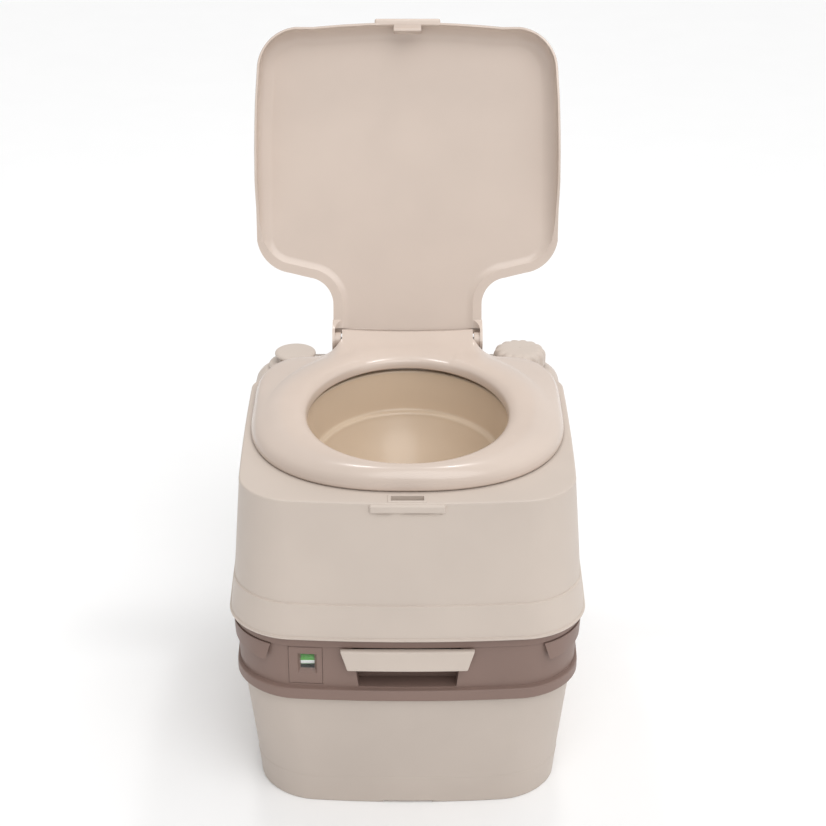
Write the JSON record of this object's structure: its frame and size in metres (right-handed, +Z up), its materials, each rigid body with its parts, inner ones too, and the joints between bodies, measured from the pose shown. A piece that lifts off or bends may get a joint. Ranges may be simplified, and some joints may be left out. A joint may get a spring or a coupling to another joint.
{
  "type": "portable flush toilet with removable waste tank",
  "caption": "Free-standing camping toilet: upper flush tank with bowl, hinged seat and lid, hand pump and filler, latched onto a lower waste tank with slide valve, level gauge and swivel spout.",
  "frame": {"origin": "centre of the waste tank's flat bottom, on the floor", "axes": "+X to the right as a person faces the front, +Y to the back where the lid hinge is, +Z up"},
  "size_m": [0.383, 0.523, 0.7533],
  "materials": {
    "cream_body": "satin moulded polyethylene, warm cream",
    "cream_gloss": "smooth moulded plastic with a soft gloss, warm cream",
    "bowl_cream": "smooth moulded plastic, deeper cream",
    "brown_trim": "satin moulded plastic, grey-brown",
    "grey_plastic": "plain moulded plastic, mid grey",
    "black_rubber": "soft moulded rubber",
    "gauge_green": "printed drum, green with a white band",
    "clear_plastic": "clear moulded plastic",
    "steel": "plain stainless wire"
  },
  "bodies": {
    "waste_unit": {"waste_tank": "cream_body", "tank_band": "brown_trim", "tank_deck": "brown_trim", "valve_guide": "grey_plastic", "valve_lip_seal": "black_rubber", "gauge_panel": "brown_trim", "gauge_lens": "clear_plastic", "gauge_pin": "steel", "gauge_bracket": "grey_plastic", "vent_sleeve": "grey_plastic"},
    "valve": {"valve_blade": "grey_plastic", "valve_handle": "cream_body"},
    "gauge": {"gauge_drum": "gauge_green", "float_arm": "grey_plastic", "float_ball": "cream_body"},
    "vent": {"vent_button": "brown_trim", "vent_seal": "black_rubber"},
    "spout": {"spout_elbow": "brown_trim", "spout_seal": "black_rubber"},
    "spout_plug": {"spout_cap_seal": "black_rubber"},
    "spout_cap": {"spout_cap": "brown_trim"},
    "flush_unit": {"flush_tank_case": "cream_body", "bowl": "bowl_cream", "flush_tank_floor": "cream_body", "trim_ring": "brown_trim", "latch_pin_right": "steel", "latch_pin_left": "steel", "pump_barrel": "grey_plastic", "pump_collar": "cream_body", "pump_foot_valve": "grey_plastic", "flush_hose": "clear_plastic", "flush_nozzle": "grey_plastic", "fill_neck": "cream_body", "hinge_pin_left": "grey_plastic", "hinge_pin_right": "grey_plastic"},
    "latch_right": {"latch_right": "brown_trim"},
    "latch_left": {"latch_left": "brown_trim"},
    "pump": {"pump_knob": "cream_body", "pump_rod": "grey_plastic", "pump_piston": "grey_plastic", "pump_piston_ring": "black_rubber"},
    "filler_plug": {"fill_cap_seal": "black_rubber"},
    "filler_cap": {"fill_cap": "cream_body"},
    "seat": {"seat": "cream_gloss", "seat_bumper_1": "black_rubber", "seat_bumper_2": "black_rubber", "seat_bumper_3": "black_rubber", "seat_bumper_4": "black_rubber"},
    "lid": {"lid": "cream_gloss"}
  },
  "joints": [
    {"name": "flush_unit_lift", "type": "slide", "parent": "waste_unit", "child": "flush_unit", "axis": [0, 0, 1], "range_m": [0, 0.025]},
    {"name": "latch_right_swing", "type": "hinge", "parent": "flush_unit", "child": "latch_right", "pos_m": [0.1893, -0.031, 0.2094], "axis": [0, -1, 0], "range_deg": [0, 50]},
    {"name": "latch_left_swing", "type": "hinge", "parent": "flush_unit", "child": "latch_left", "pos_m": [-0.1893, -0.031, 0.2094], "axis": [0, 1, 0], "range_deg": [0, 50]},
    {"name": "valve_slide", "type": "slide", "parent": "waste_unit", "child": "valve", "axis": [0, -1, 0], "range_m": [0, 0.105]},
    {"name": "gauge_float", "type": "hinge", "parent": "waste_unit", "child": "gauge", "pos_m": [-0.106, -0.184, 0.19], "axis": [1, 0, 0], "range_deg": [0, 60]},
    {"name": "vent_press", "type": "slide", "parent": "waste_unit", "child": "vent", "axis": [0, 0, -1], "range_m": [0, 0.004], "stiffness_N_per_m": 400},
    {"name": "spout_swivel", "type": "hinge", "parent": "waste_unit", "child": "spout", "pos_m": [-0.118, 0.184, 0.189], "axis": [0, 0, 1], "range_deg": [0, 100]},
    {"name": "spout_cap_pull", "type": "slide", "parent": "spout", "child": "spout_plug", "axis": [1, 0, 0], "range_m": [0, 0.03]},
    {"name": "spout_cap_turn", "type": "hinge", "parent": "spout_plug", "child": "spout_cap", "pos_m": [0.01, 0.184, 0.189], "axis": [1, 0, 0], "range_deg": [0, 360]},
    {"name": "pump_stroke", "type": "slide", "parent": "flush_unit", "child": "pump", "axis": [0, 0, 1], "range_m": [0, 0.042]},
    {"name": "fill_cap_lift", "type": "slide", "parent": "flush_unit", "child": "filler_plug", "axis": [0, 0, 1], "range_m": [0, 0.04]},
    {"name": "fill_cap_turn", "type": "hinge", "parent": "filler_plug", "child": "filler_cap", "pos_m": [0.132, 0.16, 0.38], "axis": [0, 0, 1], "range_deg": [0, 360]},
    {"name": "seat_hinge", "type": "hinge", "parent": "flush_unit", "child": "seat", "pos_m": [0, 0.163, 0.402], "axis": [-1, 0, 0], "range_deg": [0, 96]},
    {"name": "lid_hinge", "type": "hinge", "parent": "flush_unit", "child": "lid", "pos_m": [0, 0.163, 0.402], "axis": [-1, 0, 0], "range_deg": [-112, 0]}
  ],
  "couplings": [
    {"joint": "latch_right_swing", "follows": "flush_unit_lift", "rad_per_m": 34.9},
    {"joint": "latch_left_swing", "follows": "flush_unit_lift", "rad_per_m": 34.9}
  ]
}
